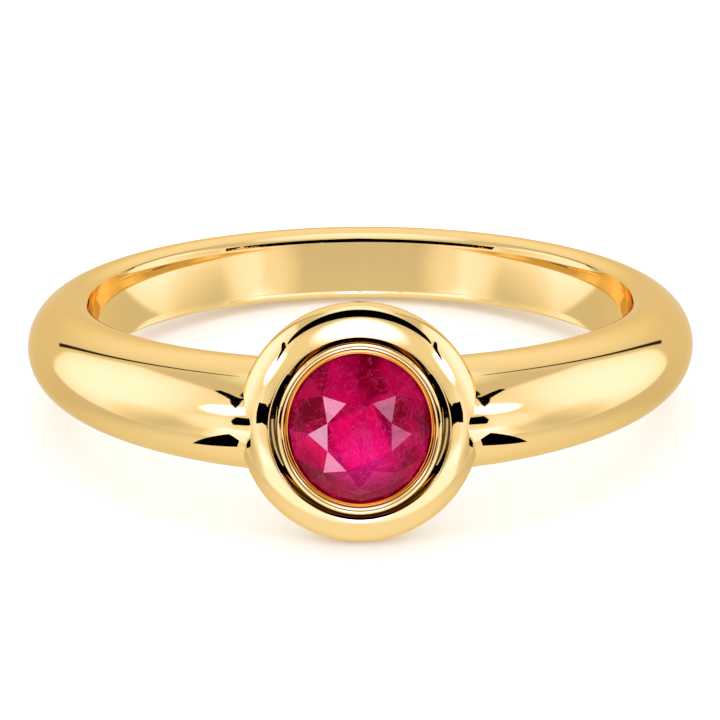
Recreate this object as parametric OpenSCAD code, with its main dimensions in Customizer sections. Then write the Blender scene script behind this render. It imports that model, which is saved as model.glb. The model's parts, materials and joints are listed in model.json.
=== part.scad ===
// Bezel set ring: a domed gold band whose shoulders widen towards a round bezel,
// with a thin collet inside the bezel rim and a faceted red stone in the collet.
// All sizes are in millimetres. The ring is built flat, finger hole along Z and
// bezel towards -Y, and is then tipped so that it lies as it would on a table.

/* [Finger hole] */
// Diameter of the finger hole
finger_d = 17.3; // [14:0.1:21]

/* [Band] */
// Width of the band at the back
back_w = 2.4; // [1.8:0.05:3]
// Width of the band where it reaches the bezel
front_w = 3.58; // [2.8:0.02:4]
// How late the band widens towards the bezel
widening = 1.5; // [1:0.1:2.5]
// Thickness of the band at the back
back_t = 1.45; // [1.2:0.05:2]
// Thickness of the band at its sides
side_t = 1.97; // [1.5:0.01:2.4]
// Thickness of the band where it reaches the bezel
front_t = 2.34; // [1.9:0.02:2.6]
// How much fuller the shoulders are than the band behind its sides
swell = 0.3; // [0:0.05:0.4]
// Height of the rounded inside edge above the finger hole
edge_rise = 0.64; // [0.3:0.02:0.9]
// How far the rounded inside edge cuts into the width
edge_in = 0.38; // [0.15:0.01:0.6]

/* [Bezel] */
// Outer width of the bezel rim
rim_d = 7.44; // [7.1:0.02:8]
// How much taller the bezel is than wide
rim_oval = 1.025; // [1:0.005:1.05]
// Height of the rim's widest line above the finger hole
rim_height = 1.28; // [1.1:0.02:1.4]
// Height of the mouth's edge above the rim's widest line
rim_rise = 0.76; // [0.66:0.02:0.86]
// Slope of the rim's crown where it reaches the mouth, in degrees
rim_slope = 14; // [6:1:18]
// Width of the opening inside the rim
mouth_d = 5.52; // [5.44:0.02:5.7]
// How much taller that opening is than wide
mouth_oval = 1.055; // [1.05:0.005:1.07]
// Depth of the groove between the rim and the collet
groove_depth = 0.56; // [0.3:0.02:0.7]

/* [Collet] */
// Outer width of the collet
collet_d = 5.12; // [5:0.02:5.2]
// Thickness of the collet's lip
lip_t = 0.28; // [0.2:0.01:0.34]
// How much taller the collet is than wide
collet_oval = 1.085; // [1.08:0.001:1.09]
// Height of the collet's lip above the finger hole
lip_height = 2.08; // [2:0.02:2.2]
// Diameter of the light hole behind the stone
light_d = 2.8; // [2.2:0.1:3]

/* [Stone] */
// Width of the stone across its girdle
stone_d = 4.36; // [4.2:0.02:4.4]
// How much taller the stone is than wide
stone_oval = 1.09; // [1.06:0.005:1.09]
// Width of the table as a share of the stone's width
table_share = 0.45; // [0.4:0.01:0.6]
// Height of the crown, from the girdle to the table
crown_h = 0.98; // [0.6:0.02:1.1]
// Depth of the pavilion, from the girdle to the culet
pavilion_h = 1.74; // [1.4:0.02:1.76]
// Thickness of the girdle
girdle_t = 0.1; // [0.04:0.01:0.16]

/* [Hidden] */
$fn = 96;
gold = [0.90, 0.70, 0.36];
red = [0.66, 0.02, 0.22];
fit_gap = 0.02;
finger_r = finger_d / 2;
sections = 96;
outer_steps = 12;
edge_steps = 4;
bore_cut = 0.25;

// Half the band's width at an angle from the bezel, which is at 0
function half_w(a) =
    back_w / 2 + (front_w - back_w) / 2 * pow((1 + cos(a)) / 2, widening);

// The band's thickness at that angle: smooth through back, side and front, and
// fuller on the shoulders than behind the sides
function thick(a) =
    side_t + (front_t - back_t) / 2 * cos(a)
    + ((front_t + back_t) / 2 - side_t) * pow(cos(a), 2)
    + swell * cos(a) * pow(sin(a), 2);

// One cross section as [height above the finger hole, place along the finger]:
// a half ellipse outside, a rounded edge at each side, and a flat inside that
// stands a little proud into the hole, for the bore to cut back
function section(t, h) = concat(
    [for (i = [0 : outer_steps])
        let (u = 180 * i / outer_steps - 90)
        [edge_rise + (t - edge_rise) * cos(u), h * sin(u)]],
    [for (i = [1 : edge_steps])
        let (u = 90 * i / (edge_steps + 1))
        [edge_rise * (1 - sin(u)), h - edge_in + edge_in * cos(u)]],
    [[-bore_cut, h - edge_in - bore_cut]],
    [[-bore_cut, edge_in + bore_cut - h]],
    [for (i = [edge_steps : -1 : 1])
        let (u = 90 * i / (edge_steps + 1))
        [edge_rise * (1 - sin(u)), edge_in - h - edge_in * cos(u)]]);

// A section point turned to its place round the ring
function placed(p, a) =
    [(finger_r + p[0]) * sin(a), -(finger_r + p[0]) * cos(a), p[1]];

band_points = [for (j = [0 : sections - 1])
    let (a = 360 * j / sections)
    for (p = section(thick(a), half_w(a))) placed(p, a)];
ring_n = outer_steps + 2 * edge_steps + 3;

// The band as one closed loft of sections
module band_loft() {
    polyhedron(
        points = band_points,
        faces = [for (j = [0 : sections - 1])
            for (k = [0 : ring_n - 1])
                let (
                    a = j * ring_n + k,
                    b = j * ring_n + (k + 1) % ring_n,
                    c = ((j + 1) % sections) * ring_n + (k + 1) % ring_n,
                    d = ((j + 1) % sections) * ring_n + k)
                for (f = [[a, b, c], [a, c, d]]) f],
        convexity = 6);
}

// Outline of the bezel, [distance from its axis, distance from the ring's centre]:
// a bowl below the widest line, a domed crown above it, and the mouth's edge. The
// crown is part of an ellipse that stands upright at the widest line and has the
// stated slope where the mouth's rounded edge takes over
rim_r = rim_d / 2;
rim_reach = finger_r + rim_height;
mouth_r = mouth_d / 2;
mouth_round = 0.06;
bowl_r = 1.5;
bowl_y = finger_r - 0.1;
crown_w = rim_r - mouth_r - mouth_round;
crown_k = crown_w * tan(rim_slope) / rim_rise;
crown_turn = acos(crown_k / (1 - crown_k));
crown_a = crown_w / (1 - cos(crown_turn));
crown_b = rim_rise / sin(crown_turn);
edge_reach = rim_reach + rim_rise;
function bowl_curve() = [for (i = [0 : 8])
    let (u = 90 * i / 8)
    [bowl_r + (rim_r - bowl_r) * sin(u), rim_reach - (rim_reach - bowl_y) * cos(u)]];
function crown_curve() = [for (i = [1 : 12])
    let (u = crown_turn * i / 12)
    [rim_r - crown_a * (1 - cos(u)), rim_reach + crown_b * sin(u)]];
function mouth_curve() = [for (i = [1 : 4])
    let (u = 90 * i / 4)
    [mouth_r + mouth_round * (1 - sin(u)), edge_reach - mouth_round * (1 - cos(u))]];

// Turns a solid made about Z so that its axis points out of the bezel
module on_bezel(oval) {
    rotate([90, 0, 0]) scale([1, oval, 1]) children();
}

module bezel_body() {
    on_bezel(rim_oval) rotate_extrude()
        polygon(concat([[0, bowl_y]], bowl_curve(), crown_curve(), mouth_curve(),
            [[mouth_r, rim_reach], [0, rim_reach]]));
}

// Room in the bezel: the groove's width above, the collet's seat below
lip_reach = finger_r + lip_height;
seat_y = finger_r + 0.75;
seat_r = collet_d / 2 + fit_gap;
groove_y = lip_reach - groove_depth;
module bezel_room() {
    on_bezel(mouth_oval) translate([0, 0, groove_y])
        cylinder(r = mouth_r, h = 3);
    on_bezel(collet_oval) translate([0, 0, seat_y])
        cylinder(r = seat_r, h = 3);
}

module band_with_bezel() {
    color(gold) difference() {
        union() {
            band_loft();
            bezel_body();
        }
        cylinder(r = finger_r, h = 4 * front_w, center = true, $fn = 180);
        bezel_room();
        rotate([90, 0, 0]) cylinder(d = light_d, h = 2 * finger_r);
    }
}

// The collet: a thin wall with a rounded lip, a sloped seat for the stone
// and a straight bore below it. The sloped seat runs just clear of the stone
collet_r = collet_d / 2;
lip_round = lip_t / 2;
girdle_r = stone_d / 2;
girdle_y = lip_reach - 0.11;
seat_slope = pavilion_h / girdle_r;
well_r = light_d / 2;
collet_foot = seat_y + fit_gap;
girdle_room = girdle_r + 0.03;
function lip_curve() = [for (i = [0 : 12])
    let (u = 180 * i / 12)
    [collet_r - lip_round + lip_round * cos(u), lip_reach - lip_round + lip_round * sin(u)]];
module collet() {
    color(gold) on_bezel(collet_oval) rotate_extrude()
        polygon(concat([[collet_r, collet_foot]], lip_curve(), [
            [girdle_room, girdle_y + 0.04],
            [girdle_room, girdle_y - girdle_t - 0.06],
            [well_r, girdle_y - girdle_t - seat_slope * (girdle_r - well_r) - 0.1],
            [well_r, collet_foot]]));
}

// The stone, as [x, y, height above the girdle] with its table upwards: table,
// star points, upper and lower girdle, and culet. The star points lie on the
// planes of the main crown facets
table_r = girdle_r * table_share / cos(22.5);
star_r = table_r + (girdle_r - table_r) * 0.46;
star_h = crown_h * (girdle_r - star_r * cos(22.5)) / (girdle_r - table_r);
lower_r = girdle_r * 0.2;
lower_h = pavilion_h * (lower_r * cos(22.5) / girdle_r - 1) - girdle_t;
function wheel(r, h, n, turn) = [for (i = [0 : n - 1])
    let (a = 360 * i / n + turn) [r * cos(a), r * sin(a), h]];
stone_points = concat(
    wheel(table_r, crown_h, 8, 22.5),
    wheel(star_r, star_h, 8, 45),
    wheel(girdle_r, 0, 16, 22.5),
    wheel(girdle_r, -girdle_t, 16, 22.5),
    wheel(lower_r, lower_h, 8, 45),
    [[0, 0, -pavilion_h - girdle_t]]);
function next8(i) = (i + 1) % 8;
stone_faces = concat(
    [[7, 6, 5, 4, 3, 2, 1, 0]],
    [for (i = [0 : 7]) [i, next8(i), 8 + i]],
    [for (i = [0 : 7]) [next8(i), 8 + next8(i), 16 + 2 * next8(i)]],
    [for (i = [0 : 7]) [next8(i), 16 + 2 * next8(i), 8 + i]],
    [for (i = [0 : 7]) [8 + i, 17 + 2 * i, 16 + 2 * i]],
    [for (i = [0 : 7]) [8 + i, 16 + 2 * next8(i), 17 + 2 * i]],
    [for (i = [0 : 15]) [16 + i, 16 + (i + 1) % 16, 32 + (i + 1) % 16, 32 + i]],
    [for (i = [0 : 7]) [32 + 2 * i, 33 + 2 * i, 48 + i]],
    [for (i = [0 : 7]) [33 + 2 * i, 32 + 2 * next8(i), 48 + i]],
    [for (i = [0 : 7]) [32 + 2 * next8(i), 48 + next8(i), 48 + i]],
    [for (i = [0 : 7]) [56, 48 + i, 48 + next8(i)]]);
module ruby() {
    color(red) on_bezel(stone_oval) translate([0, 0, girdle_y])
        polyhedron(points = stone_points, faces = stone_faces, convexity = 2);
}

// The resting pose. The bezel is taller than the band is wide, so a ring laid on
// its side tips until the rim's lower edge and the back of the band both touch
rim_outline = concat(bowl_curve(), crown_curve());
function low_back(t) = min([for (p = band_points) if (p[1] > 0)
    p[2] * cos(t) - p[1] * sin(t)]);
function low_rim(t) = min([for (p = rim_outline)
    p[1] * sin(t) - p[0] * rim_oval * cos(t)]);
function rest_tilt(a, b, n) = let (m = (a + b) / 2)
    n == 0 ? m
    : low_back(m) > low_rim(m) ? rest_tilt(m, b, n - 1)
    : rest_tilt(a, m, n - 1);
tilt = rest_tilt(0, 20, 18);
lift = -low_rim(tilt);
back_reach = max([for (p = band_points) p[1] * cos(tilt) + p[2] * sin(tilt)]);
front_reach = max([for (p = stone_points)
    (girdle_y + p[2]) * cos(tilt) - p[1] * stone_oval * sin(tilt)]);
module at_rest() {
    translate([0, (front_reach - back_reach) / 2, lift])
        rotate([-tilt, 0, 0]) children();
}

at_rest() band_with_bezel();
at_rest() collet();
at_rest() ruby();
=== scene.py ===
# %% [markdown]
# # A bezel set ring in polished gold
#
# The object is a finger ring: a domed gold band, a round bezel in front, a thin
# collet inside the bezel, and a faceted red stone. Its measured solids come in as
# a fixed frame. This script dresses them: it builds smooth skins over the same
# sizes, gives them their metal and stone, and sets up the light and the camera.
# Lengths are in millimetres until a mesh is made, and MM turns them to metres.

# %% Load the frame
import json
import math

import bmesh
import bpy
import numpy as np
from mathutils import Matrix, Vector


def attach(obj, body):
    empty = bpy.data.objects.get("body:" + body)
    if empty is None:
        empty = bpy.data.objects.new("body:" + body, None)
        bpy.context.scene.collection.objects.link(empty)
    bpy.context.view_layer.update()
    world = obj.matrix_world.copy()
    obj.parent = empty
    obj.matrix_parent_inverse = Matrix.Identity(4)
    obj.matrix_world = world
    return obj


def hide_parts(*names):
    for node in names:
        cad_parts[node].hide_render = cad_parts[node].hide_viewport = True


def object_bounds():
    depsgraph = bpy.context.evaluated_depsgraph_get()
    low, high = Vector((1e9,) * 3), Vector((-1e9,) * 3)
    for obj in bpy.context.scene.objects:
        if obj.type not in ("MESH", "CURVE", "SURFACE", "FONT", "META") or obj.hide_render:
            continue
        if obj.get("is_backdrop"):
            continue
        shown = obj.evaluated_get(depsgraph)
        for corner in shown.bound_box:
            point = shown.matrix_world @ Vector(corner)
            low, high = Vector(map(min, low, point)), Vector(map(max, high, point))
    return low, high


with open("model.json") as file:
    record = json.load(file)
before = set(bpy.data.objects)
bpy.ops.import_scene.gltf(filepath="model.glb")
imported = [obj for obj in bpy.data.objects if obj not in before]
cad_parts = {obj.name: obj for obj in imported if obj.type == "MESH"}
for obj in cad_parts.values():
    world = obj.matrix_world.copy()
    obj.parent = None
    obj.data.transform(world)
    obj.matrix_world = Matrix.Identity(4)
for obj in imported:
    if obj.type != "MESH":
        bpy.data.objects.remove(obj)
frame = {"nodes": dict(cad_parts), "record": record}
cad_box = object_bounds()
MM = 0.001
print("nodes:", sorted(frame["nodes"]))

# %% [markdown]
# ## Where the ring lies
#
# The ring is tipped a little, because the bezel is taller than the band is wide.
# The record's finger hole tells where the centre of the ring is and how its axis
# leans. One matrix made from these two takes every piece from a ring that lies
# flat, with its bezel towards -Y, to the ring as it rests.

# %% From the flat ring to the resting ring
finger_hole = frame["record"]["mounts"][0]
centre = Vector(finger_hole["pos_m"])
finger_axis = Vector(finger_hole["axis"]).normalized()
lean = math.atan2(finger_axis.y, finger_axis.z)
to_rest = Matrix.Translation(centre) @ Matrix.Rotation(-lean, 4, "X")
finger_r = finger_hole["dims"]["r_mm"]
print("finger hole radius", finger_r, "mm, lean", round(math.degrees(lean), 2), "degrees")

# %% [markdown]
# ## The shape of the band
#
# The band is a half round wire bent into a circle: domed outside, flat inside, with
# its inner edges rounded so that it slides on. It swells from the back to the
# shoulders. The same few sizes as in the solids drive it here, with many more
# steps, because polished metal shows every facet as a kink in its reflections.

# %% Sizes of the band, in millimetres
back_w, front_w, widening = 2.40, 3.58, 1.5
back_t, side_t, front_t, swell = 1.45, 1.97, 2.34, 0.30
edge_rise, edge_in = 0.64, 0.38


def half_width(a):
    """Half the band's width at an angle from the bezel."""
    return back_w / 2 + (front_w - back_w) / 2 * ((1 + math.cos(a)) / 2) ** widening


def thickness(a):
    """The band's thickness at that angle, fuller on the shoulders."""
    c, s = math.cos(a), math.sin(a)
    even = side_t + (front_t - back_t) / 2 * c + ((front_t + back_t) / 2 - side_t) * c * c
    return even + swell * c * s * s


def band_section(a, dome_steps=56, edge_steps=12, proud=0.25):
    """One cross section as (height above the hole, place along the finger)."""
    t, h = thickness(a), half_width(a)
    dome = [(edge_rise + (t - edge_rise) * math.cos(u), h * math.sin(u))
            for u in np.linspace(-math.pi / 2, math.pi / 2, dome_steps + 1)]
    edge = [(edge_rise * (1 - math.sin(u)), h - edge_in + edge_in * math.cos(u))
            for u in np.linspace(0, math.radians(84), edge_steps + 1)[1:]]
    inside = [(-proud, h - edge_in - proud / 2), (-proud, edge_in + proud / 2 - h)]
    return dome + edge + inside + [(r, -z) for r, z in reversed(edge)]


print("band:", [round(2 * half_width(math.radians(a)), 2) for a in (0, 60, 120, 180)], "mm wide and",
      [round(thickness(math.radians(a)), 2) for a in (0, 60, 120, 180)], "mm thick from front to back")

# %% [markdown]
# ## Lofting
#
# A loft joins a row of cross sections with a skin of four-sided faces. The band could
# also be a profile curve swept along a circle, but a swept profile keeps its size, and
# this one has to grow from the back to the shoulders.

# %% Build the band
def new_object(name, mesh):
    obj = bpy.data.objects.new(name, mesh)
    bpy.context.collection.objects.link(obj)
    return obj


def loft(name, rows, closed):
    """A skin over rows of points. Rows are closed rings; the ends meet if closed."""
    bm = bmesh.new()
    rings = [[bm.verts.new(p) for p in row] for row in rows]
    n = len(rows[0])
    count = len(rings) if closed else len(rings) - 1
    for j in range(count):
        a, b = rings[j], rings[(j + 1) % len(rings)]
        for k in range(n):
            bm.faces.new((a[k], a[(k + 1) % n], b[(k + 1) % n], b[k]))
    if not closed:
        bm.faces.new(rings[0])
        bm.faces.new(list(reversed(rings[-1])))
    bmesh.ops.recalc_face_normals(bm, faces=bm.faces)
    mesh = bpy.data.meshes.new(name)
    bm.to_mesh(mesh)
    bm.free()
    return new_object(name, mesh)


steps_round = 320
rows = []
for a in np.linspace(0, 2 * math.pi, steps_round, endpoint=False):
    rows.append([((finger_r + r) * math.sin(a) * MM, -(finger_r + r) * math.cos(a) * MM, z * MM)
                 for r, z in band_section(a)])
gold_ring = loft("gold_ring", rows, closed=True)
print("band:", len(gold_ring.data.polygons), "faces")

# %% [markdown]
# ## The bezel
#
# The bezel is a shallow bowl with a broad, domed rim. It is turned like a bowl on a
# lathe, and is a hair taller than wide, as is the stone. Inside its mouth a narrow
# dark groove parts the rim from the collet. The bezel could simply be pushed into the
# band as a mesh of its own, but then the inside of the ring would show two skins.
# Booleans join them and cut the holes, as a goldsmith solders the bezel on and reams
# the finger hole. The finished piece is one closed skin of one metal.

# %% Sizes of the bezel, in millimetres from the centre of the ring
rim_r, rim_oval = 3.72, 1.025
rim_reach, rim_rise, rim_slope = finger_r + 1.28, 0.76, math.radians(14)
mouth_r, mouth_oval, mouth_round = 2.76, 1.055, 0.06
lip_reach = finger_r + 2.08
groove_depth, seat_reach = 0.56, finger_r + 0.75
collet_r, collet_oval, fit_gap = 2.56, 1.085, 0.02
light_r = 1.4
crown_w = rim_r - mouth_r - mouth_round
crown_k = crown_w * math.tan(rim_slope) / rim_rise
crown_turn = math.acos(crown_k / (1 - crown_k))
crown_a, crown_b = crown_w / (1 - math.cos(crown_turn)), rim_rise / math.sin(crown_turn)
edge_reach = rim_reach + rim_rise
bowl_r, bowl_reach = 1.5, finger_r - 0.1
print("rim:", round(2 * rim_r, 2), "mm wide, its top", round(edge_reach, 2), "mm from the ring's centre")


# %% Turn the bezel and solder it to the band
def turned(name, outline, oval, steps=192):
    """A lathe: turns (radius, reach) about the bezel's axis, which runs along -Y."""
    rows = []
    for r, reach in outline:
        rows.append([(r * math.cos(t) * MM, -reach * MM, r * oval * math.sin(t) * MM)
                     for t in np.linspace(0, 2 * math.pi, steps, endpoint=False)])
    return loft(name, rows, closed=False)


def cut_or_join(target, tool, operation):
    """Applies one boolean to the target and removes the tool."""
    step = target.modifiers.new(operation.lower(), "BOOLEAN")
    step.operation, step.object, step.solver = operation, tool, "EXACT"
    done = bpy.data.meshes.new_from_object(
        target.evaluated_get(bpy.context.evaluated_depsgraph_get()))
    target.modifiers.clear()
    target.data = done
    bpy.data.objects.remove(tool)


def quarter(steps, first=0):
    """The angles of a quarter turn, without the first few if they are there already."""
    return np.linspace(0, math.pi / 2, steps + 1)[first:]


bowl = [(bowl_r + (rim_r - bowl_r) * math.sin(u), rim_reach - (rim_reach - bowl_reach) * math.cos(u))
        for u in quarter(24)]
crown = [(rim_r - crown_a * (1 - math.cos(u)), rim_reach + crown_b * math.sin(u))
         for u in np.linspace(0, crown_turn, 41)[1:]]
mouth_edge = [(mouth_r + mouth_round * (1 - math.sin(u)), edge_reach - mouth_round * (1 - math.cos(u)))
              for u in quarter(12, 1)]
bezel = turned("bezel", bowl + crown + mouth_edge + [(mouth_r, rim_reach)], rim_oval)
cut_or_join(gold_ring, bezel, "UNION")
print("band with bezel:", len(gold_ring.data.polygons), "faces")

# %% [markdown]
# The finger hole could be cut by a plain cylinder. No wall comes off the polishing
# wheel dead flat, though, and the reflections inside the band show it. The plug that
# cuts it here leaves the wall crowned, by 0.02 mm at the back and 0.09 mm at the sides.

# %% Cut the groove, the collet's seat, the light hole and the finger hole
in_front, in_the_hole, beside = lip_reach + 2, 4, 5
groove = turned("groove", [(mouth_r, lip_reach - groove_depth), (mouth_r, in_front)], mouth_oval)
seat = turned("seat", [(collet_r + fit_gap, seat_reach), (collet_r + fit_gap, in_front)], collet_oval)
light_hole = turned("light_hole", [(light_r, in_the_hole), (light_r, lip_reach)], 1.0, steps=96)
back_dome, side_dome = 0.02, 0.07


def inside_ring(k, far=0.0):
    """One ring of the finger hole's wall: k runs from -1 to 1 across its flat."""
    points = []
    for a in np.linspace(0, 2 * math.pi, 360, endpoint=False):
        dome = back_dome + side_dome * math.sin(a) ** 2
        r, z = finger_r + dome * k * k, k * (half_width(a) - edge_in) + far
        points.append((r * math.sin(a) * MM, -r * math.cos(a) * MM, z * MM))
    return points


wall = [inside_ring(k) for k in np.linspace(-1, 1, 33)]
hole = loft("hole", [inside_ring(-1, -beside)] + wall + [inside_ring(1, beside)], closed=False)
for tool in (groove, seat, light_hole, hole):
    cut_or_join(gold_ring, tool, "DIFFERENCE")
print("gold ring:", len(gold_ring.data.polygons), "faces")

# %% [markdown]
# ## The collet
#
# The collet is the thin ring of gold that stands right round the stone. Its lip is
# rounded over, and its wall slopes down to the stone, where it mirrors the red. It
# could be a part of the bezel's skin, but as a ring of its own it leaves the groove a
# true gap. It is turned like the bezel, from the closed outline of its section, and
# stands a few hundredths of a millimetre clear of the stone.

# %% Build the collet
lip_t = 0.28
stone_r, stone_oval = 2.18, 1.09
crown_h, pavilion_h, girdle_t = 0.98, 1.74, 0.10
girdle_depth, beside_gap, over_gap, under_gap, seat_gap = 0.11, 0.03, 0.04, 0.06, 0.1
girdle_reach = lip_reach - girdle_depth
lip_half = lip_t / 2
lip = [(collet_r - lip_half + lip_half * math.cos(u), lip_reach - lip_half + lip_half * math.sin(u))
       for u in np.linspace(0, math.pi, 25)]
seat_slope = pavilion_h / stone_r
low_seat = girdle_reach - girdle_t - seat_slope * (stone_r - light_r) - seat_gap
collet_outline = [(collet_r, seat_reach + fit_gap)] + lip + [
    (stone_r + beside_gap, girdle_reach + over_gap),
    (stone_r + beside_gap, girdle_reach - girdle_t - under_gap),
    (light_r, low_seat), (light_r, seat_reach + fit_gap)]


def turned_ring(name, outline, oval, steps=192):
    """A ring round the bezel's axis, from the closed outline of its section."""
    rows = []
    for t in np.linspace(0, 2 * math.pi, steps, endpoint=False):
        rows.append([(r * math.cos(t) * MM, -reach * MM, r * oval * math.sin(t) * MM)
                     for r, reach in outline])
    return loft(name, rows, closed=True)


collet = turned_ring("collet_ring", collet_outline, collet_oval)
print("collet:", len(collet.data.polygons), "faces")

# %% [markdown]
# ## The stone
#
# The stone is a slightly oval brilliant: an eight-sided table, eight star facets
# round it, kite-shaped main facets, and small facets that meet the girdle. Below is
# the pavilion, whose facets send the light back. A stone could be cut from a block
# with planes, as a lapidary cuts it. A brilliant repeats eight times, though, so its
# corners lie on a few wheels, and the facets are laid between those. Every facet is
# flat, so the mesh has exactly one face for each and no smoothing.

# %% The stone's wheels of corners
table_share, star_share, deep_share = 0.45, 0.46, 0.2
half_step, whole_step = math.radians(22.5), math.radians(45)
table_r = stone_r * table_share / math.cos(half_step)
star_r = table_r + (stone_r - table_r) * star_share
star_h = crown_h * (stone_r - star_r * math.cos(half_step)) / (stone_r - table_r)
lower_r = stone_r * deep_share
lower_h = pavilion_h * (lower_r * math.cos(half_step) / stone_r - 1) - girdle_t


def wheel(bm, r, h, count, start):
    """Points round the stone's axis, at a height over the girdle."""
    turns = (start + 2 * math.pi * i / count for i in range(count))
    return [bm.verts.new((r * math.cos(t) * MM, -(girdle_reach + h) * MM, r * stone_oval * math.sin(t) * MM))
            for t in turns]


bm = bmesh.new()
table = wheel(bm, table_r, crown_h, 8, half_step)
star = wheel(bm, star_r, star_h, 8, whole_step)
upper = wheel(bm, stone_r, 0, 16, half_step)
lower = wheel(bm, stone_r, -girdle_t, 16, half_step)
deep = wheel(bm, lower_r, lower_h, 8, whole_step)
print("table", round(2 * table_r, 2), "mm from corner to corner, stone", 2 * stone_r, "mm wide")

# %% Lay the facets between the wheels
culet = bm.verts.new((0, -(girdle_reach - girdle_t - pavilion_h) * MM, 0))
bm.faces.new(table)
for i in range(8):
    j, m = (i + 1) % 8, (i - 1) % 8
    bm.faces.new((table[i], table[j], star[i]))
    bm.faces.new((table[i], star[i], upper[2 * i], star[m]))
    bm.faces.new((star[i], upper[2 * i], upper[2 * i + 1]))
    bm.faces.new((star[i], upper[2 * i + 1], upper[2 * j]))
    bm.faces.new((lower[2 * i], lower[2 * i + 1], deep[i]))
    bm.faces.new((lower[2 * i + 1], lower[2 * j], deep[i]))
    bm.faces.new((culet, deep[m], lower[2 * i], deep[i]))
for i in range(16):
    bm.faces.new((upper[i], upper[(i + 1) % 16], lower[(i + 1) % 16], lower[i]))
bmesh.ops.recalc_face_normals(bm, faces=bm.faces)
stone_mesh = bpy.data.meshes.new("stone")
bm.to_mesh(stone_mesh)
bm.free()
stone = new_object("faceted_ruby", stone_mesh)
print("stone:", len(stone_mesh.polygons), "facets")

# %% [markdown]
# ## Shading the skins
#
# Polished metal is shaded smooth, and stays sharp only where two surfaces truly
# meet at an edge. Smoothing by angle alone leaves dents beside the thin slivers that
# booleans make. Weighted normals let the big faces decide, so the reflections stay
# calm. The stone keeps its flat facets.

# %% Smooth the metal and lay the pieces down as the ring rests
sharp_from = math.radians(32)
for piece in (gold_ring, collet):
    piece.data.polygons.foreach_set("use_smooth", [True] * len(piece.data.polygons))
    piece.data.set_sharp_from_angle(angle=sharp_from)
    even = piece.modifiers.new("weighted", "WEIGHTED_NORMAL")
    even.keep_sharp = True
for piece in (gold_ring, collet, stone):
    piece.data.transform(to_rest)
    piece.data.update()
    low = min(v.co.z for v in piece.data.vertices)
    print(piece.name, "lowest point", round(low / MM, 3), "mm")

# %% [markdown]
# ## Colours and nodes
#
# Colours are written as sRGB hex values and turned to linear light by one function.
# Another small function adds a node, sets its values and joins its inputs, so each
# material below reads as a short recipe.

# %% Colour and node helpers
def from_hex(code):
    """An sRGB hex value as linear light."""
    parts = [int(code[i:i + 2], 16) / 255 for i in (1, 3, 5)]
    return tuple(c / 12.92 if c <= 0.04045 else ((c + 0.055) / 1.055) ** 2.4 for c in parts) + (1.0,)


def add(tree, kind, *values, **named):
    """Adds a node. Plain values fill its inputs in order. A name with a small first
    letter is one of the node's settings, and one with a capital is an input."""
    node = tree.nodes.new("ShaderNode" + kind)
    for name in [n for n in named if n[0].islower()]:
        setattr(node, name, named.pop(name))
    filled = list(zip([s for s in node.inputs if s.enabled], values))
    filled += [(node.inputs[name.replace("_", " ")], value) for name, value in named.items()]
    for socket, value in filled:
        if isinstance(value, bpy.types.Node):
            value = next(s for s in value.outputs if s.enabled)
        if isinstance(value, bpy.types.NodeSocket):
            tree.links.new(value, socket)
        else:
            socket.default_value = value
    return node


def new_material(name):
    """An empty material and its node tree."""
    material = bpy.data.materials.new(name)
    material.use_nodes = True
    material.node_tree.nodes.clear()
    return material, material.node_tree


SOFT = {"interpolation_type": "SMOOTHSTEP"}
print("middle grey in linear light:", round(from_hex("#808080")[0], 3))

# %% [markdown]
# ## Polished gold
#
# The metal is 18 carat yellow gold, polished to a mirror. Its colour comes from the
# base colour, since a metal tints what it mirrors, and it is paler where the metal is
# seen edge on, which the specular tint gives. Hand polishing leaves a very shallow
# waviness, a few millimetres across, and hairlines that only blur the highlights a
# little. Both could be pictures of scratches, but noise has no seams and any scale.
# Real hairlines are about a hundredth of a millimetre apart. Here they are drawn at
# 0.12 mm, as finer ones wouldn't show.

# %% Waves, hairlines and the metal's colour
gold_material, tree = new_material("polished_yellow_gold")
place = add(tree, "TexCoord").outputs["Object"]
wave_mm, hairline_mm = 3.0, 0.12
clean_roughness, scratched_roughness = 0.015, 0.045
wave_strength, wave_height_mm = 0.02, 0.2
waves = add(tree, "TexNoise", Vector=place, Scale=1 / (wave_mm * MM), Detail=1.0)
hairlines = add(tree, "TexNoise", Vector=place, Scale=1 / (hairline_mm * MM), Detail=2.0)
blur = add(tree, "MapRange", hairlines, 0.3, 0.7, clean_roughness, scratched_roughness)
bump = add(tree, "Bump", Height=waves, Strength=wave_strength, Distance=wave_height_mm * MM)
print("waves", wave_mm, "mm, hairlines", hairline_mm, "mm")

# %% [markdown]
# The groove between rim and collet is deep and narrow. Its two corners are darkened
# with painted shade, which draws two fine dark lines round the collet. The places
# could be painted on the mesh. Here they are found by their distance from the bezel's
# axis and by their reach from the ring's centre, so they follow the sizes of the groove.

# %% Where the painted shade darkens the groove
from_ring = add(tree, "Mapping", place, centre, (-lean, 0, 0), (1, 1, mouth_oval), vector_type="TEXTURE")
across = add(tree, "VectorMath", from_ring, (1, 0, 1), operation="MULTIPLY")
from_axis = add(tree, "VectorMath", across, operation="LENGTH")
reach = add(tree, "Math", add(tree, "SeparateXYZ", from_ring).outputs["Y"], -1.0, operation="MULTIPLY")
mid_shift, groove_floor = 0.02, lip_reach - groove_depth
groove_mid = (mouth_r + collet_r) / 2 + mid_shift
from_mid = add(tree, "Math", from_axis, groove_mid * MM, operation="SUBTRACT")
off_mid = add(tree, "Math", from_mid, operation="ABSOLUTE")
groove_shade_slope, groove_shade_depth, groove_shade_share = 1.15, 0.12, 0.92
sloping = add(tree, "Math", from_axis, -groove_shade_slope, reach, operation="MULTIPLY_ADD")
groove_shade_top = groove_floor + groove_shade_depth - groove_shade_slope * collet_r
painted_groove_shade = groove_shade_share
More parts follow.
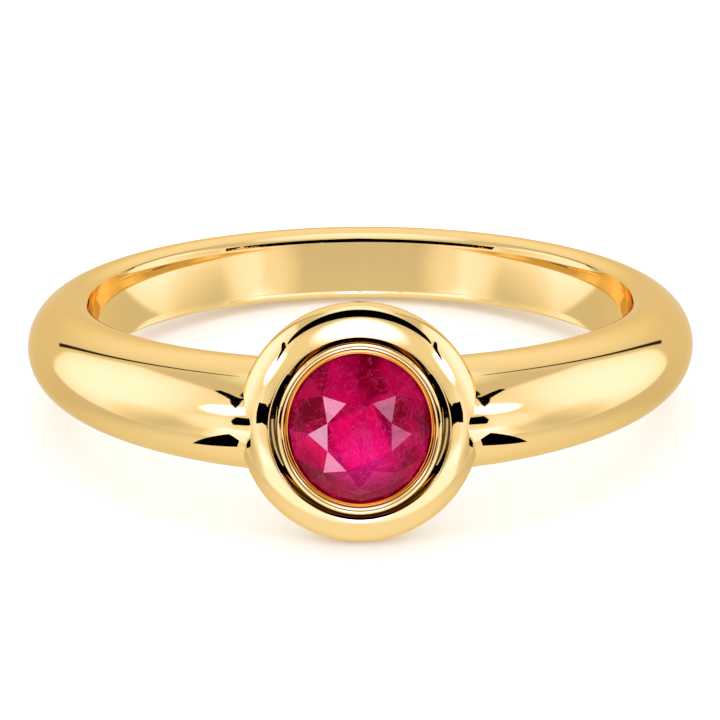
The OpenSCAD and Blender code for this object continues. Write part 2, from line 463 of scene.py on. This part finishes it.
# Each row has a measure, its value outside the painted shade and its value in it.
for value, unmarked, dark in (
        (from_axis, mouth_r + 0.05, mouth_r + 0.02), (from_axis, collet_r - 0.03, collet_r - 0.01),
        (sloping, groove_shade_top + 0.06, groove_shade_top), (reach, groove_floor - 0.06, groove_floor - 0.03),
        (off_mid, 0.01, 0.045)):
    painted_groove_shade = add(tree, "MapRange", value, unmarked * MM, dark * MM, 0.0, painted_groove_shade, **SOFT)
print("paste from", round(collet_r, 2), "to", round(mouth_r, 2), "mm from the bezel's axis")

# %% The gold shader
# The dark brown mixed in here is painted shade in the groove's two corners.
gold_colour = add(tree, "Mix", painted_groove_shade, from_hex("#F3CF88"), from_hex("#3A2410"), data_type="RGBA")
shader = add(tree, "BsdfPrincipled", Base_Color=gold_colour, Metallic=1.0, Roughness=blur, Normal=bump,
             Specular_Tint=from_hex("#FCEAC4"))
add(tree, "OutputMaterial", Surface=shader)
for piece in (gold_ring, collet):
    piece.data.materials.clear()
    piece.data.materials.append(gold_material)
print("gold:", len(tree.nodes), "nodes")

# %% [markdown]
# ## Ruby
#
# Ruby is corundum: hard, clear and strongly coloured, with an index of refraction of
# 1.77. This one isn't clean. Silk and veils inside it scatter the light, so it glows
# in its own deep crimson, and only part of what is behind it shines through. As clear
# red glass it would show little but the bowl behind it, so the shader is part glass
# and part its own colour. Clouds about a millimetre wide make it lighter and darker,
# and a painted glow, a bright heart low in the table, stands for the light that the
# stone sends back.

# %% Clouds and the painted glow of the heart
ruby_material, tree = new_material("silky_ruby")
coords = add(tree, "TexCoord")
place, way = coords.outputs["Object"], coords.outputs["Normal"]
cloud_mm, veil_mm, speck_mm = 1.3, 0.8, 0.16
clouds = add(tree, "TexNoise", Vector=place, Scale=1 / (cloud_mm * MM), Detail=3.0, Distortion=0.8)
cloud_share = add(tree, "MapRange", clouds, 0.36, 0.62, **SOFT)
body = add(tree, "Mix", cloud_share, from_hex("#7E0020"), from_hex("#C8044E"), data_type="RGBA")
# The heart is painted light: a pink glow mixed into the colour, brightest low in the table.
heart_x, heart_z, heart_r, heart_core, heart_share = 0.2, -0.8, 1.7, 0.1, 0.85
heart = to_rest @ Vector((heart_x * MM, -(girdle_reach + crown_h) * MM, heart_z * MM))
from_heart = add(tree, "VectorMath", place, heart, operation="DISTANCE")
painted_heart_glow = add(tree, "MapRange", from_heart, heart_r * MM, heart_core * MM, 0.0, heart_share, **SOFT)
body = add(tree, "Mix", painted_heart_glow, body, from_hex("#E61A8C"), data_type="RGBA")
print("clouds", cloud_mm, "mm, veils", veil_mm, "mm, specks", speck_mm, "mm")

# %% [markdown]
# Each facet sends the eye to another part of the stone, so neighbouring facets differ
# in how much light they send back. That light and dark is painted: a random number from
# the facet's own direction makes every one lighter or darker. Thin veils and fine specks
# lie over that.

# %% Painted light and dark on the facets
tone_step = 0.13
stepped = add(tree, "VectorMath", way, (tone_step, tone_step, tone_step), operation="SNAP")
painted_facet_light = add(tree, "TexWhiteNoise", Vector=stepped)
# Dark facets are painted shade and bright facets painted light.
for unmarked, full, share, colour in ((0.5, 0.9, 0.30, "#5C0018"), (0.5, 0.1, 0.55, "#EE0C66")):
    facet_light_share = add(tree, "MapRange", painted_facet_light, unmarked, full, 0.0, share, **SOFT)
    body = add(tree, "Mix", facet_light_share, body, from_hex(colour), data_type="RGBA")
print("facet tones: dark and bright, in steps of", tone_step)

# %% Veils and specks
folds = add(tree, "TexNoise", Vector=place, Scale=1 / (veil_mm * MM), Detail=5.0, Roughness=0.65,
            Distortion=1.2)
for fold, width, share, colour in ((0.5, 0.022, 0.38, "#E8408E"), (0.44, 0.03, 0.18, "#520014")):
    past_fold = add(tree, "Math", folds, fold, operation="SUBTRACT")
    off_fold = add(tree, "Math", past_fold, operation="ABSOLUTE")
    veil = add(tree, "MapRange", off_fold, width, 0.0, 0.0, share, **SOFT)
    body = add(tree, "Mix", veil, body, from_hex(colour), data_type="RGBA")
specks = add(tree, "TexVoronoi", Vector=place, Scale=1 / (speck_mm * MM))
speck = add(tree, "MapRange", specks, 0.16, 0.05, 0.0, 0.4, **SOFT)
body = add(tree, "Mix", speck, body, from_hex("#F080B8"), data_type="RGBA")
print("ruby so far:", len(tree.nodes), "nodes")

# %% [markdown]
# The eight star facets round the table catch the light at their own slope. Five of
# them get a painted pale reflection of the tent, the left ones most of all. They are
# picked out by the way they face: how far they lean from the table, and to which side.

# %% Painted reflections on the star facets
turn_only = to_rest.to_3x3()
outward, to_right, to_low_right = [
    add(tree, "VectorMath", way, turn_only @ Vector(axis), operation="DOT_PRODUCT")
    for axis in ((0, -1, 0), (1, 0, 0), (0.707, 0, -0.707))]
to_side = add(tree, "Math", to_right, operation="ABSOLUTE")
painted_star_mask = 1.0
for value, unmarked, full in ((outward, 0.79, 0.81), (outward, 0.96, 0.94), (to_low_right, 0.44, 0.41),
                           (to_side, 0.18, 0.22)):
    painted_star_mask = add(tree, "MapRange", value, unmarked, full, 0.0, painted_star_mask, **SOFT)
left_reflection_share, right_reflection_share = 0.50, 0.17
painted_star_reflection = add(tree, "MapRange", to_right, -0.45, 0.45, left_reflection_share, right_reflection_share)
# The painted reflection is patchy, following the veils.
reflection_patches = add(tree, "MapRange", folds, 0.3, 0.7, 0.75, 1.25)
painted_star_reflection = add(tree, "Math", painted_star_reflection, reflection_patches, operation="MULTIPLY")
painted_star_reflection = add(tree, "Math", painted_star_mask, painted_star_reflection, operation="MULTIPLY")
# The pale pink is a painted reflection of the tent on the star facets.
body = add(tree, "Mix", painted_star_reflection, body, from_hex("#ECC2E0"), data_type="RGBA")
print("milk on the left", left_reflection_share, "and on the right", right_reflection_share)

# %% [markdown]
# The stone lets through less under the painted reflections on the star facets and in
# its painted heart. Its real index of 1.77 would make it mirror so much of the pale
# tent that the lower facets look washed out. The shader's index is 1.3, and what it
# mirrors is tinted red, so that the stone keeps its depth.

# %% The ruby shader
side_clear, heart_clear, reflection_clear = 0.6, 0.42, 0.25
clear = add(tree, "MapRange", painted_heart_glow, 0.0, heart_share, side_clear, heart_clear)
clear = add(tree, "Mix", painted_star_mask, clear, reflection_clear, data_type="FLOAT")
shader = add(tree, "BsdfPrincipled", Base_Color=body, Roughness=0.02, IOR=1.3, Specular_IOR_Level=0.2,
             Specular_Tint=from_hex("#8A2040"), Transmission_Weight=clear)
add(tree, "OutputMaterial", Surface=shader)
stone.data.materials.clear()
stone.data.materials.append(ruby_material)
print("ruby:", len(tree.nodes), "nodes")

# %% [markdown]
# ## Tying the pieces to the frame
#
# Each skin stands for one measured solid, rides on the ring's only body and hides the
# solid that it replaces.

# %% Ride and replace
for piece, node, finish in ((gold_ring, "band_with_bezel", "gold"), (collet, "collet", "gold"),
                            (stone, "ruby", "ruby")):
    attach(piece, "root")
    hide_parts(node)
    print(piece.name, "stands for", node)

# %% [markdown]
# ## Floor
#
# The ring lies on white paper that runs on behind it without an edge. The paper could
# curve up at the back, but seen from above a flat sheet fills the picture. Gold that
# mirrored a white floor would lose its dark lines, so the floor is left out of
# reflections, and the light tent below stands in for it there.

# %% Floor
half_floor, below_ring_mm = 0.6, 0.02
sheet = [(x * half_floor, y * half_floor, 0) for x, y in ((-1, -1), (1, -1), (1, 1), (-1, 1))]
floor_mesh = bpy.data.meshes.new("floor")
floor_mesh.from_pydata(sheet, [], [range(4)])
floor = new_object("floor", floor_mesh)
floor.location.z = -below_ring_mm * MM
floor_material, tree = new_material("pale_paper")
paper = add(tree, "BsdfPrincipled", Base_Color=from_hex("#F7F6F4"), Roughness=0.9)
add(tree, "OutputMaterial", Surface=paper)
floor_mesh.materials.append(floor_material)
floor.visible_glossy = False
floor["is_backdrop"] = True
print("floor:", 2 * half_floor, "m wide")

# %% [markdown]
# ## The light tent
#
# Mirror-like metal shows only what surrounds it. A jeweller photographs a ring inside
# a tent of white cloth with soft boxes outside it, and hangs dark strips in the tent
# to draw the dark lines that make gold read as polished. Lamps could stand round the
# ring, but the metal would mirror each as a plain square. The world can have any
# shape in any direction, so it is the tent. A direction is named by two angles: lon 0
# is the camera's side and grows to the right, lat is the height above the floor. The
# tent is the same on the left and the right.

# %% Panels and glows of the tent
world = bpy.data.worlds.new("light_tent")
bpy.context.scene.world = world
world.use_nodes = True
tree = world.node_tree
tree.nodes.clear()
sight = add(tree, "SeparateXYZ", add(tree, "TexCoord").outputs["Generated"])
aside = add(tree, "Math", sight.outputs["X"], operation="ABSOLUTE")
look = add(tree, "CombineXYZ", aside, sight.outputs["Y"], sight.outputs["Z"])


def towards(lon, lat):
    """A direction: lon 0 is towards the camera's side (-Y), positive to the right."""
    lon, lat = math.radians(lon), math.radians(lat)
    return Vector((math.sin(lon) * math.cos(lat), -math.cos(lon) * math.cos(lat), math.sin(lat)))


def panel(corners, soft):
    """The part of the tent between straight edges that join the named corners."""
    points = [towards(*corner) for corner in corners]
    middle = sum(points, Vector()).normalized()
    fade = math.sin(math.radians(soft))
    inside = 1.0
    for a, b in zip(points, points[1:] + points[:1]):
        edge = a.cross(b).normalized()
        edge *= 1 if edge.dot(middle) > 0 else -1
        side = add(tree, "VectorMath", look, edge, operation="DOT_PRODUCT")
        inside = add(tree, "MapRange", side, -fade, fade, 0.0, inside, **SOFT)
    return inside


def glow(lon, lat, core, spread, strength):
    """A round, soft light, full within core degrees and gone at spread."""
    near = add(tree, "VectorMath", look, towards(lon, lat), operation="DOT_PRODUCT")
    far, full = math.cos(math.radians(spread)), math.cos(math.radians(core))
    return add(tree, "MapRange", near, far, full, 0.0, strength, **SOFT)


soft_box = panel([(42, 30), (50, 43), (72, 48), (118, 50), (134, 17), (126, -10), (98, -27), (60, -38),
                  (42, -28)], 2.5)
reflector = panel([(-20, -16), (45, -16), (56, -36), (-20, -40)], 4.0)
seam = panel([(118, 64), (119.6, 65), (142, 12), (138.3, 11)], 0.8)
print("tent so far:", len(tree.nodes), "nodes")

# %% [markdown]
# The cloth is brighter overhead and near the floor. Over it lie the soft box at each
# side, with its lamp behind the middle, the white reflector low in front, a few small
# lamps, and one dark seam at each side that draws the line along the shoulder. A light
# is given by its lon and lat, its core and spread, and its strength.

# %% Put the tent together
cloth, box_level, reflector_level, seam_level = 0.76, 0.95, 1.45, 0.02
overhead, underneath = [
    add(tree, "MapRange", sight.outputs["Z"], math.sin(math.radians(low)), math.sin(math.radians(high)), 0.0,
        strength, **SOFT) for low, high, strength in ((58, 74, 0.50), (-32, -52, 0.18))]
above_and_below = add(tree, "Math", overhead, underneath, operation="ADD")
level = add(tree, "Math", cloth, above_and_below, operation="ADD")
for light in ((180, 48, 5, 45, 0.30), (160, 5, 5, 50, 0.10), (0, -60, 5, 60, 0.14)):
    level = add(tree, "Math", level, glow(*light), operation="ADD")
level = add(tree, "Mix", soft_box, level, box_level, data_type="FLOAT")
box_lamp, box_shade = [add(tree, "Math", soft_box, share, operation="MULTIPLY") for share in (0.55, -0.22)]
for light in ((98, 14, 0, 52, box_lamp), (74, -18, 2, 20, box_shade)):
    level = add(tree, "Math", level, glow(*light), operation="ADD")
level = add(tree, "Mix", reflector, level, reflector_level, data_type="FLOAT")
for light in ((0, -33, 4, 11, 2.0), (30, 26, 5, 28, 0.25), (46, 17, 2, 11, 1.6), (0, 38, 12, 25, 1.2),
              (43, -9, 2, 20, 0.35)):
    level = add(tree, "Math", level, glow(*light), operation="ADD")
level = add(tree, "Mix", seam, level, seam_level, data_type="FLOAT")
print("tent so far:", len(tree.nodes), "nodes")

# %% [markdown]
# Gold turns white light yellow, yet its brightest spots in a photo are nearly white.
# So the brighter the tent, the more blue it has, and overhead it has less red. Only
# the metal and the stone mirror the tent. All else is lit by a plain white light, so
# that the paper stays even.

# %% Cool its bright parts and show it to mirrors alone
less_red, green_power, blue_power, plain_strength = -0.30, 1.05, 2.1, 1.6
red = add(tree, "Math", overhead, less_red, level, operation="MULTIPLY_ADD")
green = add(tree, "Math", level, green_power, operation="POWER")
bright_blue = add(tree, "Math", level, blue_power, operation="POWER")
blue = add(tree, "Math", level, bright_blue, operation="MAXIMUM")
tent = add(tree, "Background", add(tree, "CombineColor", red, green, blue), 1.0)
plain_light = add(tree, "Background", from_hex("#FFFFFF"), plain_strength)
mirrored = add(tree, "LightPath").outputs["Is Glossy Ray"]
add(tree, "OutputWorld", Surface=add(tree, "MixShader", mirrored, plain_light, tent))
print("tent:", len(tree.nodes), "nodes")

# %% [markdown]
# ## Cards close to the ring
#
# A tent is far away, so it can't draw marks on one part of the ring alone. For these a
# photographer holds small cards close to the piece, just out of the picture. Here
# they are seen in reflections and nowhere else. Each is a flat sheet, given by its
# corners in millimetres.

# %% How a card is made
def card_paper(name, colour):
    """A paper that shows its own colour whatever the light."""
    material, tree = new_material(name)
    add(tree, "OutputMaterial", Surface=add(tree, "Emission", from_hex(colour), 1.0))
    return material


def only_mirrored(thing, paper):
    """Shows a card in reflections and nowhere else."""
    thing.data.materials.append(paper)
    for unseen in ("visible_camera", "visible_diffuse", "visible_transmission", "visible_shadow"):
        setattr(thing, unseen, False)
    thing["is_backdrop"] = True


def card(name, paper, corners):
    """A flat sheet between corners in millimetres."""
    mesh = bpy.data.meshes.new(name)
    mesh.from_pydata([Vector(corner) * MM for corner in corners], [], [range(len(corners))])
    only_mirrored(new_object(name, mesh), paper)


def pair(name, paper, corners):
    """The same card on the right and, mirrored, on the left."""
    card(name + "_right", paper, corners)
    card(name + "_left", paper, [(-x, y, z) for x, y, z in corners])


black, grey = card_paper("black_card", "#000000"), card_paper("grey_card", "#E1E1E1")
print("papers:", black.name, "and", grey.name)

# %% [markdown]
# Two kinds of card hang overhead. A crescent, the sheet between two circles, draws the
# arc on the rim. A pointed card at each side draws the upper dark mark where the
# shoulder meets the rim.

# %% Cards overhead
overhead_z, crescent_x = 14.0, 11.2
(back_y, back_r), (near_y, near_r) = (-21.6, 13.0), (-31.6, 19.0)
across = np.linspace(-crescent_x, crescent_x, 41)
crescent = [(x, back_y + math.sqrt(back_r ** 2 - x * x), overhead_z) for x in across]
crescent += [(x, near_y + math.sqrt(near_r ** 2 - x * x), overhead_z) for x in across[::-1]]
card("crescent_overhead", black, crescent)
pair("over_shoulder", black, [(x, y, overhead_z) for x, y in (
    (11.7, -12.0), (12.5, -12.0), (13.2, -15), (13.9, -17), (16.2, -20.2), (20.0, -26.4), (15.0, -20.8),
    (11.9, -16.9), (11.6, -13.5))])
print("cards overhead:", overhead_z, "mm above the floor")

# %% [markdown]
# Lower down, one pair draws the wedges under the shoulders and another the dark posts
# on the rim's two sides. A bar in front darkens the sides of the groove, and a card
# inside the ring draws the line along the inner edge at the back.

# %% Lower black cards
under_z, beside_y, front_y, over_back_y = 2.9, -13, -30, 6
bar_half, bar_low, bar_high = 15, 0.9, 4.1
pair("under_shoulder", black, [(x, y, under_z) for x, y in (
    (5.2, -8.75), (3.9, -9.5), (4.1, -9.9), (4.9, -10.3))])
pair("beside_rim", black, [(x, beside_y, z) for x, z in (
    (3.3, 3.35), (5.5, 3.5), (7.0, 3.2), (7.2, 3.9), (6.9, 4.7), (5.2, 4.6), (3.3, 3.7))])
card("bar_in_front", black, [(x, front_y, z) for x, z in (
    (-bar_half, bar_low), (bar_half, bar_low), (bar_half, bar_high), (-bar_half, bar_high))])
card("over_back", black, [(x, over_back_y, z) for x, z in (
    (-0.7, 2.15), (0.7, 2.15), (0.55, 4.0), (0.3, 6.5), (0, 8.5), (-0.3, 6.5), (-0.55, 4.0))])
print("black cards:", sum(mesh.materials[:] == [black] for mesh in bpy.data.meshes))

# %% [markdown]
# The last card is grey, as bright as the tent. It hides the back of the bezel from the
# inner wall of the band, so that the wall looks even.

# %% Grey card
behind_y = -6.4
card("behind_bezel", grey, [(x, behind_y, z) for x, z in (
    (-5.4, 3.4), (-5.4, 1.9), (-3.9, 1.5), (-3.3, -0.2), (3.3, -0.2), (3.9, 1.5), (5.4, 1.9), (5.4, 3.4))])
print("grey cards:", sum(mesh.materials[:] == [grey] for mesh in bpy.data.meshes))

# %% [markdown]
# ## The camera
#
# The photo was taken from far away with a long lens, looking down on the ring. The
# camera could be set by eye, but its angle to the ring came from the outline of the
# band: it looks 15.5 degrees down on the plane of the ring, which itself is tipped by
# its rest. seen_x and seen_y are the pixel on which the ring's centre falls.

# %% Camera
tilt_down, turn, roll = math.radians(15.49), math.radians(0.2), math.radians(-0.328)
distance_mm, px_per_mm, image_px, sensor_mm = 213.0, 31.116, 720, 36.0
seen_x, seen_y = 360.54, 335.8
spin = Matrix.Rotation(turn, 4, "Z")
forward = spin @ Vector((0, math.cos(tilt_down), -math.sin(tilt_down)))
above = spin @ Vector((0, math.sin(tilt_down), math.cos(tilt_down)))
right = spin @ Vector((1, 0, 0))
aim = (-(seen_x - image_px / 2) * right + (seen_y - image_px / 2) * above) / px_per_mm
eye = -distance_mm * forward
axis_out = (eye - aim).normalized()
side_way = above.cross(axis_out).normalized()
top_way = axis_out.cross(side_way)
turned_view = Matrix((side_way, top_way, axis_out)).transposed().to_4x4() @ Matrix.Rotation(roll, 4, "Z")
camera_data = bpy.data.cameras.new("camera")
camera_data.sensor_width = sensor_mm
camera_data.lens = px_per_mm * distance_mm / image_px * sensor_mm
camera_data.clip_start = 0.01
camera = bpy.data.objects.new("camera", camera_data)
bpy.context.collection.objects.link(camera)
camera.matrix_world = to_rest @ Matrix.Translation(eye * MM) @ turned_view
bpy.context.scene.camera = camera
print("lens", round(camera_data.lens, 1), "mm")

# %% [markdown]
#
# The dressed ring must be as big as its solids. Both boxes are written down side by
# side.

# %% Write the two boxes and finish
bpy.context.scene.view_settings.view_transform = "Standard"
dressed_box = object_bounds()


def plain(value):
    """The same numbers as plain lists, which a file can hold."""
    return [plain(v) for v in value] if hasattr(value, "__len__") else float(value)


{"cad": plain(cad_box), "dressed": plain(dressed_box)}
print("cad", plain(cad_box), "dressed", plain(dressed_box))
